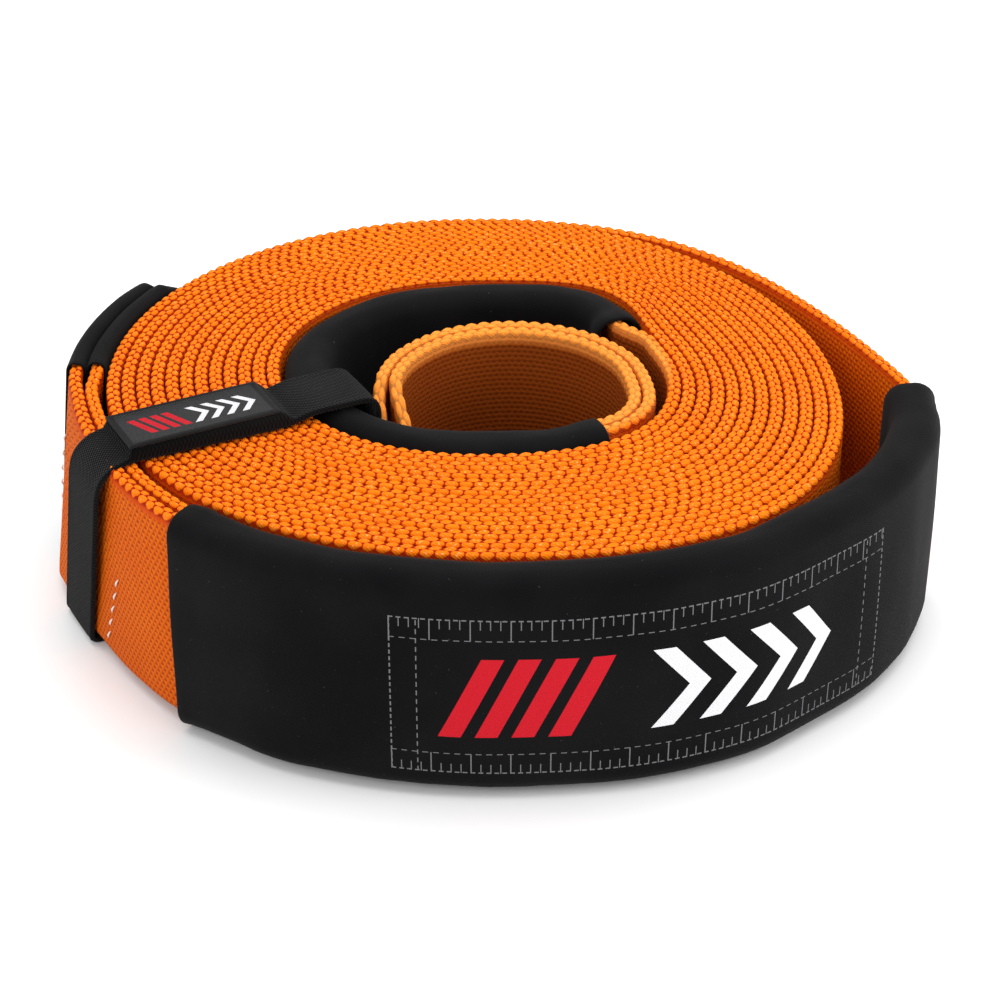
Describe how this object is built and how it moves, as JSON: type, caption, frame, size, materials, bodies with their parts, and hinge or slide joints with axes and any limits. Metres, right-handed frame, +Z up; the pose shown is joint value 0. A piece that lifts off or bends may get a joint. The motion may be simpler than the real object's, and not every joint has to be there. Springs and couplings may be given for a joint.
{
  "type": "tow strap",
  "caption": "Rolled flat webbing tow strap with a sewn eye at each end, fabric wear sleeves and a hook-and-loop keeper round the roll.",
  "frame": {"origin": "on the floor, under the middle of the rolled strap's box", "axes": "+Z up, along the webbing's width; +X to the right and +Y to the back, seen from the printed front sleeve"},
  "size_m": [0.3044, 0.2984, 0.0868],
  "materials": {
    "webbing": "woven nylon webbing, orange, matt with a soft sheen",
    "sleeve": "smooth matt black coated fabric",
    "keeper": "black hook-and-loop pile",
    "label": "woven label, dark grey"
  },
  "bodies": {
    "root": {"webbing": "webbing", "front_wear_sleeve": "sleeve", "inner_wear_sleeve": "sleeve", "outer_eye_sleeve": "sleeve", "inner_eye_sleeve": "sleeve", "keeper_strap": "keeper", "keeper_label": "label"}
  },
  "joints": []
}
